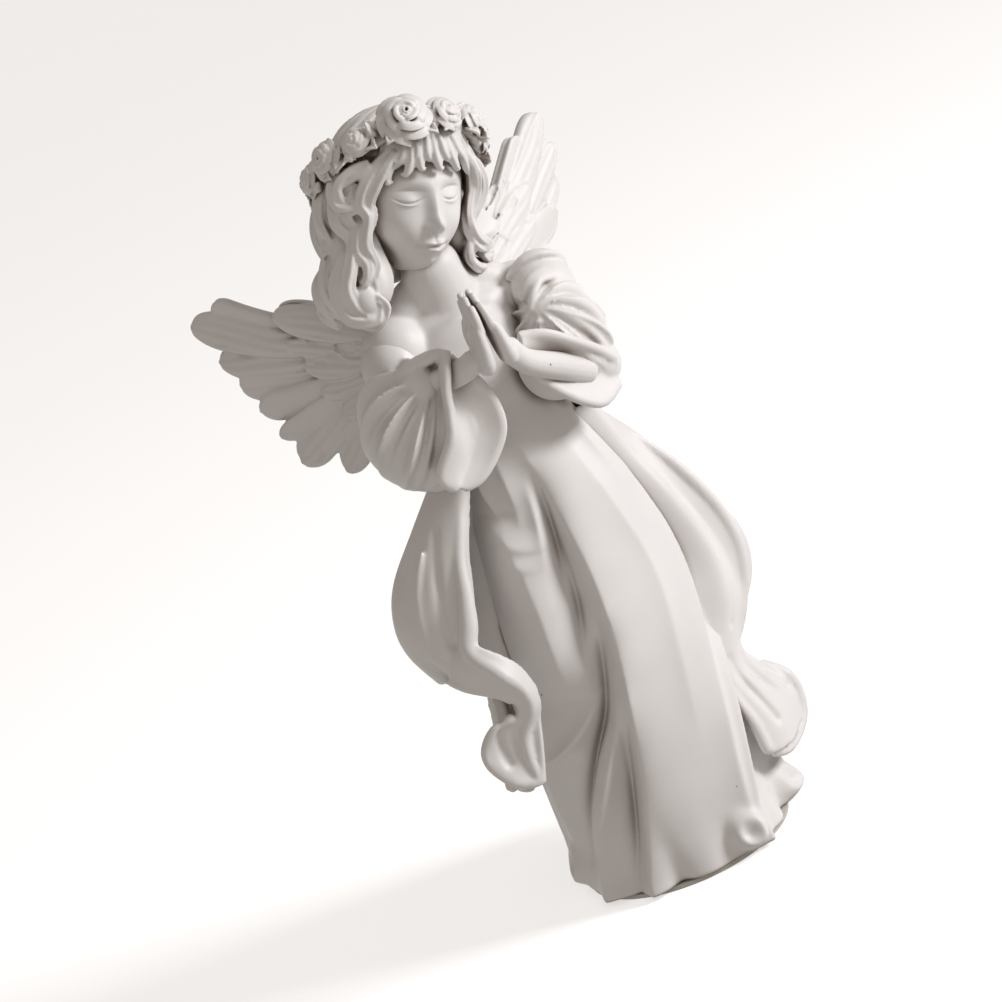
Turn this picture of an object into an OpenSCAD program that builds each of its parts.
// Praying angel figurine, cast in white resin as separate pieces that are pinned and glued together.
// Millimetres. +Z is up, the angel faces -Y, and the origin is the centre of the felt pad's underside.
// "right" and "left" in a name are the angel's own: right is -X and left is +X.

/* [Gown] */
// Radius of the hem, where the gown meets the pad
hem_r = 28; // [26:0.5:30]
// Height of the neckline, where the gown meets the bust
neckline_z = 131; // [129:0.5:132]
// Thickness of the felt pad under the hem
pad_t = 1; // [0.8:0.1:2]

/* [Head] */
// Height of the head from crown to chin: a young figure stands five and a half heads tall
head_h = 36; // [35:0.5:37]
// Lean of the head towards the angel's left shoulder
head_lean = 20; // [16:1:24]
// Turn of the head towards the angel's left
head_turn = 12; // [8:1:16]
// Nod of the head
head_nod = 8; // [4:1:12]

/* [Wreath] */
// Radius of the ring that the roses sit on
vine_r = 18.6; // [18.4:0.1:19]
// Radius of the large rose over the brow
rose_big = 4.8; // [4.4:0.1:5]

/* [Wings] */
// Length of the longest flight feather
feather_l = 55; // [52:0.5:57]
// Thickness of a wing casting
wing_t = 4.4; // [4:0.1:5]
// Sweep of the wings behind the shoulders
wing_sweep = 34; // [32:1:36]
// How much higher the left wing is raised than the right one
wing_lift = 10; // [6:1:12]

/* [Joints] */
// Diameter of the steel pins in the wings and the neck
pin_d = 2; // [1.6:0.1:2.2]
// Room for glue round a pin, on the radius
pin_gap = 0.05; // [0.03:0.01:0.08]
// Room for glue between two castings
glue_gap = 0.15; // [0.1:0.05:0.3]

/* [Hidden] */
// Each rose's angle round the ring, and its size beside the large one. The last two are at the nape.
roses = [
    [-109, 1], [-82, 0.76], [-54, 0.68], [-24, 0.62], [-142, 0.6], [-166, 0.74], [-192, 0.66], [45, 0.7], [118, 0.7]
];
rose_count = len(roses);

$fn = 48;
blend_fn = 20; // facets of the balls that a hull blends
resin = "whitesmoke";

head_at = [0, -3, 176];
skull_r = head_h * 3 / 8; // a head is three quarters as wide as it is high
skull_deep = head_h / 16; // and seven eighths as deep, so two balls stand this far each side of the middle
jaw_r = head_h / 5;
crown_z = 16.5;
cap_r = 18.1; // outside of the hair over the skull
head_pose = [head_nod, head_lean, head_turn];
neck_foot = [0, -1, 144];
neck_top = [-3, -4.5, 163];
pin_l = 14;
neck_pin_l = 16;
wing_root = [7, 12, 137];
wing_root_in = 3; // how far the wing's root sits inside the back
vine_t = 2.2;
vine_at = [0, 1.5, 3.5];
vine_tip = -36; // the ring stands higher over the brow than at the nape
tenon_r = 6;
tenon_h = 5;

// The gown's outline, as [radius, height] from the hem up to the neckline.
gown_line = [
    [hem_r, pad_t], [hem_r - 0.8, 12], [26, 32], [24.2, 58], [22, 80], [19.6, 96],
    [16.4, 110], [14.4, 121], [14.6, neckline_z]
];

// One coordinate of a smooth curve through four points, at t from 0 to 1 between the middle two.
function bend(a, b, c, d, t) =
    b + t * (c - a) / 2 + t * t * (a - 2.5 * b + 2 * c - d / 2) + t * t * t * (1.5 * (b - c) + (d - a) / 2);
function end_of(line, i) = line[max(0, min(len(line) - 1, i))];
function smooth(line, steps = 4) = concat(
    [for (i = [0:len(line) - 2], s = [0:steps - 1])
        bend(end_of(line, i - 1), line[i], line[i + 1], end_of(line, i + 2), s / steps)],
    [line[len(line) - 1]]
);

// A ball at [x, y, z] with radius r, for hull() to blend.
module ball(at, r) {
    translate(at) sphere(r, $fn = blend_fn);
}

// A soft limb through a list of [[x, y, z], radius].
module limb(balls) {
    for (i = [0:len(balls) - 2]) {
        hull() {
            ball(balls[i][0], balls[i][1]);
            ball(balls[i + 1][0], balls[i + 1][1]);
        }
    }
}

// Keeps its children at their size and makes them one mesh, so that many blends become one clean casting.
module cast() {
    resize([0, 0, 0]) children();
}

// A straight rod or bore from one point to another.
module rod(a, b, r) {
    v = b - a;
    translate(a)
        rotate([0, acos(v[2] / norm(v)), atan2(v[1], v[0])])
            cylinder(r = r, h = norm(v));
}

module in_head() {
    translate(head_at) rotate(head_pose) children();
}

module felt_pad() {
    color("gainsboro") cylinder(r = hem_r - 2, h = pad_t);
}

module gown_body(grow = 0) {
    outline = smooth(gown_line);
    top = outline[len(outline) - 1];
    rotate_extrude()
        polygon(concat([[0, pad_t]], [for (p = outline) [p[0] + grow, p[1]]], [[0, top[1]]]));
}

// The gown, from hem to neckline, with the round tenon that the bust sits on.
module gown() {
    color(resin) union() {
        gown_body();
        translate([0, 0, neckline_z - 1]) cylinder(r = tenon_r, h = tenon_h + 1);
    }
}

module bust_blend(grow = 0) {
    hull() {
        ball([-16, 0, 140.5], 7.5 + grow);
        ball([15.5, 0, 138.5], 7.2 + grow);
        ball([0, -5, 137], 10 + grow);
        ball([0, 3, 138], 9 + grow);
        ball([-1, -1, 147], 6 + grow);
    }
    hull() {
        ball(neck_foot, 7 + grow);
        ball(neck_top, 6 + grow);
    }
}

// Chest, shoulders and neck. It sits on the gown's tenon, and holds the neck pin and the wings' pins.
module bust() {
    color(resin) difference() {
        bust_blend();
        translate([-40, -40, neckline_z - 40]) cube([80, 80, 40 + glue_gap]);
        cylinder(r = tenon_r + glue_gap, h = neckline_z + tenon_h + glue_gap);
        rod(neck_mid(-neck_pin_l / 2), neck_mid(neck_pin_l), pin_d / 2 + pin_gap);
        in_head() skull_blend(glue_gap);
        wing_bore(-1);
        wing_bore(1);
    }
}

// A point on the neck pin's axis, measured from where the neck meets the skull.
function neck_mid(up) = neck_top + up * (neck_top - neck_foot) / norm(neck_top - neck_foot);

module skull_blend(grow = 0) {
    hull() {
        ball([0, -skull_deep, crown_z - skull_r], skull_r + grow);
        ball([0, skull_deep, crown_z - skull_r], skull_r + grow);
        ball([0, jaw_r - skull_r - skull_deep / 2, crown_z - head_h + jaw_r], jaw_r + grow);
    }
}

// Skull and face, held to the neck by one pin.
module head() {
    color(resin) difference() {
        in_head() skull_blend();
        rod(neck_mid(-neck_pin_l / 2), neck_mid(neck_pin_l / 2), pin_d / 2 + pin_gap);
    }
}

module neck_pin() {
    color("silver") rod(neck_mid(-neck_pin_l / 2), neck_mid(neck_pin_l / 2), pin_d / 2);
}

// The hair: a cap over the skull, and loose locks beside the face and down the neck.
module hair_blend() {
    in_head() {
        difference() {
            ball([0, 1.2, 1.5], cap_r);
            translate([-14, -30, -34]) cube([28, 27, 42]);
        }
        for (side = [-1, 1]) {
            limb([
                [[side * 14, -9, 8], 3], [[side * 16.5, -4, 0], 3.4], [[side * 17.5, -2, -9], 3.6],
                [[side * 17, -1, -19], 3.6], [[side * 19.5, -3, -26], 2.6]
            ]);
            limb([[[side * 13, 9, -2], 6], [[side * 13, 9, -16], 5], [[side * 15, 8, -26], 3]]);
        }
        limb([[[0, 12, 0], 8], [[0, 12, -18], 6]]);
    }
}

module hair() {
    color(resin) cast() difference() {
        hair_blend();
        in_head() skull_blend(glue_gap);
        bust_blend(glue_gap);
        in_vine() rotate_extrude() translate([vine_r, 0]) circle(r = vine_t + glue_gap, $fn = blend_fn);
    }
}

module in_vine() {
    in_head() translate(vine_at) rotate([vine_tip, 0, 0]) children();
}

// The places on the ring where the roses' stems go in.
module at_rose(i) {
    in_vine() rotate([0, 0, roses[i - 1][0]]) translate([vine_r, 0, 0]) rotate([0, 60, 0]) children();
}

stem_r = 0.7;
stem_l = 2;
module wreath_vine() {
    color(resin) difference() {
        in_vine() rotate_extrude() translate([vine_r, 0]) circle(r = vine_t);
        for (i = [1:rose_count]) {
            at_rose(i) cylinder(r = stem_r + pin_gap, h = vine_t + stem_l);
            at_rose(i) translate([0, 0, rose_foot]) cylinder(r = rose_r(i) + 1, h = 9);
        }
    }
}

rose_foot = 1.3;
function rose_r(i) = rose_big * roses[i - 1][1];
module rose(i) {
    r = rose_r(i);
    color(resin) at_rose(i) {
        translate([0, 0, rose_foot - stem_l + 0.8]) cylinder(r = stem_r, h = stem_l);
        translate([0, 0, rose_foot + 0.1]) difference() {
            cylinder(r1 = r * 0.6, r2 = r, h = r * 0.9);
            translate([0, 0, r * 0.55]) cylinder(r1 = r * 0.55, r2 = r * 0.8, h = r);
        }
        translate([0, 0, rose_foot + 0.1]) cylinder(r = r * 0.35, h = r * 0.95);
    }
}

// Leaves between the roses, resting against the outside of the ring.
leaf_turns = [-179, -154, -125, -95, -68, -39, 0, 82, 145];
module wreath_leaves() {
    color(resin) for (turn = leaf_turns)
        in_vine() rotate([0, 0, turn])
            translate([vine_r + vine_t + glue_gap, 0, -1.6])
                rotate([0, 20, 0]) rotate([90, 0, 0])
                    translate([0, 0, -1.6]) cylinder(r = 1.6, h = 3.2, $fn = 3);
}

// Half an ellipse along +X, as long and as wide as a feather.
function feather_line(l, w, steps = 20) =
    [for (s = [0:steps]) let (a = -90 + 180 * s / steps) [l * 0.45 + l * 0.55 * cos(a), w / 2 * sin(a)]];
module feather(turn, l, w) {
    rotate(turn) polygon(concat([[0, -w * 0.3]], feather_line(l, w), [[0, w * 0.3]]));
}

// Flight feathers fan from the tip down to the body, and a scapular feather lies over the leading edge. The left
// wing is raised, and its fan is closer and shortens faster, so it reads as narrow from the front.
module wing_outline(side) {
    left = side > 0;
    lead = left ? 26 + wing_lift : 26;
    for (k = [0:6]) {
        feather(lead - (left ? 8 : 12) * k, feather_l * (left ? 1.08 - 0.09 * k : 1 - 0.07 * k), 12);
    }
    feather(lead + 10, feather_l * 0.66, 10);
    circle(r = 8);
}

module in_wing(side) {
    translate([side * wing_root[0], wing_root[1], wing_root[2]])
        rotate([0, 0, side > 0 ? wing_sweep : 180 - wing_sweep])
            rotate([90, 0, 0]) children();
}

// The pin lies in the wing's plane and runs level from the back into the wing's root.
wing_pin_from = -5;
module wing_bore(side) {
    in_wing(side) translate([wing_pin_from - 0.2, 0, 0])
        rotate([0, 90, 0]) cylinder(r = pin_d / 2 + pin_gap, h = pin_l + 0.4);
}

module wing(side) {
    color(resin) difference() {
        in_wing(side) translate([0, 0, -wing_t / 2]) linear_extrude(wing_t) wing_outline(side);
        wing_bore(side);
        gown_body(glue_gap);
        bust_blend(glue_gap);
    }
}

module wing_pin(side) {
    color("silver") in_wing(side) translate([wing_pin_from, 0, 0])
        rotate([0, 90, 0]) cylinder(r = pin_d / 2, h = pin_l);
}

// The full sleeves: gathered at the armpit, blown out round the elbow and open towards the hands.
module sleeve_blend(side) {
    right = side < 0;
    limb(right
        ? [[[-21, 0, 139], 6], [[-25, -4, 131], 8], [[-24, -12, 124], 8.5], [[-19, -22, 119], 6]]
        : [[[24, 1, 139], 6], [[26, -3, 131], 7], [[24, -12, 124], 7], [[17, -21, 121], 6]]);
    hull() {
        ball(right ? [-25, -4, 131] : [26, -3, 131], 8);
        ball(right ? [-16, -18, 134] : [12, -20, 134], 4);
        ball(right ? [-18, -22, 116] : [22, -18, 117], 5);
    }
}

module sleeve(side) {
    color(resin) cast() difference() {
        sleeve_blend(side);
        gown_body(glue_gap);
        bust_blend(glue_gap);
        hand_blend(side, glue_gap);
        drape_blend(side, glue_gap);
        wing_keep_clear(side);
    }
}

// The wing's plate, a glue gap thicker, for the sleeve to stand clear of.
module wing_keep_clear(side) {
    in_wing(side) translate([0, 0, -wing_t / 2 - glue_gap]) linear_extrude(wing_t + 2 * glue_gap) wing_outline(side);
}

// Forearm, palm and fingers. The palms press together in front of the breast, a little to the angel's right.
palm_gap = 0.15;
palm_x = -4.5;
module hand_blend(side, grow = 0) {
    limb([
        [[side * 21, -14, 121], 4.2 + grow], [[palm_x + side * 4.2, -32, 135], 3 + grow],
        [[palm_x + side * 2.9, -32, 143], 2.6 + grow], [[palm_x + side * 2.1, -28.5, 153], 1.6 + grow]
    ]);
    hull() {
        ball([palm_x + side * 3.2, -35, 137], 2.4 + grow);
        ball([palm_x + side * 2.8, -35.5, 145], 1.4 + grow);
        ball([palm_x + side * 2.8, -29, 145], 1.8 + grow);
    }
}

module hand(side) {
    color(resin) cast() difference() {
        hand_blend(side);
        translate([palm_x + (side > 0 ? -60 + palm_gap / 2 : -palm_gap / 2), -50, 100]) cube([60, 60, 80]);
        gown_body(glue_gap);
        bust_blend(glue_gap);
    }
}

// The mantle hangs from the elbows: a panel round the back, and a blown drape at each side.
mantle_top = 106;
mantle_foot = 26;
mantle_t = 3;
mantle_half = 62; // half of the angle that the back panel covers
mantle_seam = 0.35; // angle of the glue line between the back panel and a drape
module mantle_back() {
    inner = smooth([[17.8, mantle_top], [22.6, 88], [27, 64], [30.5, 44], [33, mantle_foot]]);
    color(resin) difference() {
        rotate([0, 0, 90 - mantle_half]) rotate_extrude(angle = 2 * mantle_half)
            polygon(concat(inner, [for (i = [len(inner) - 1:-1:0]) inner[i] + [mantle_t, 0]]));
        gown_body(glue_gap);
    }
}

module drape_blend(side, grow = 0) {
    limb(side < 0
        ? [[[-16, 2, 110], 3 + grow], [[-31, 0, 94], 4 + grow], [[-37.5, -1, 81], 4.8 + grow],
            [[-36, -4, 70], 4 + grow], [[-30, -15, 62], 3 + grow], [[-34, -17, 47], 4.2 + grow]]
        : [[[16, 2, 110], 3 + grow], [[28, 1, 90], 4 + grow], [[36, -1, 69], 4.6 + grow],
            [[34, -3, 54], 4 + grow], [[27, -8, 42], 3 + grow], [[31, -9, 22], 5 + grow]]);
    limb([[[side * 18, 10, 98], 3 + grow], [[side * 22.5, 12, 78], 3 + grow], [[side * 27, 14, 58], 3 + grow]]);
    hull() {
        ball([side * 31, 0, 86], 3.4 + grow);
        ball([side * 22.5, 12, 78], 3 + grow);
        ball([side * 27, 14, 58], 3 + grow);
        ball([side * 32, -2, 66], 3.4 + grow);
    }
    hull() {
        ball([side * 16, 2, 110], 3 + grow);
        ball([side * 18, 10, 98], 3 + grow);
        ball([side * 22.5, 12, 78], 3 + grow);
        ball([side * 31, 0, 86], 3.4 + grow);
    }
}

module drape(side) {
    color(resin) cast() difference() {
        drape_blend(side);
        gown_body(glue_gap);
        mantle_keep_clear();
    }
}

// The wedge of space behind the gown that belongs to the back panel.
module mantle_keep_clear() {
    rotate([0, 0, 90 - mantle_half - mantle_seam])
        rotate_extrude(angle = 2 * (mantle_half + mantle_seam)) square([70, 200]);
}

felt_pad();
gown();
bust();
head();
hair();
wreath_vine();
wreath_leaves();
for (i = [1:rose_count]) {
    rose(i);
}
wing(-1);  // wing_right
wing(1);  // wing_left
wing_pin(-1);  // wing_pin_right
wing_pin(1);  // wing_pin_left
neck_pin();
sleeve(-1);  // sleeve_right
sleeve(1);  // sleeve_left
hand(-1);  // hand_right
hand(1);  // hand_left
mantle_back();
drape(-1);  // drape_right
drape(1);  // drape_left
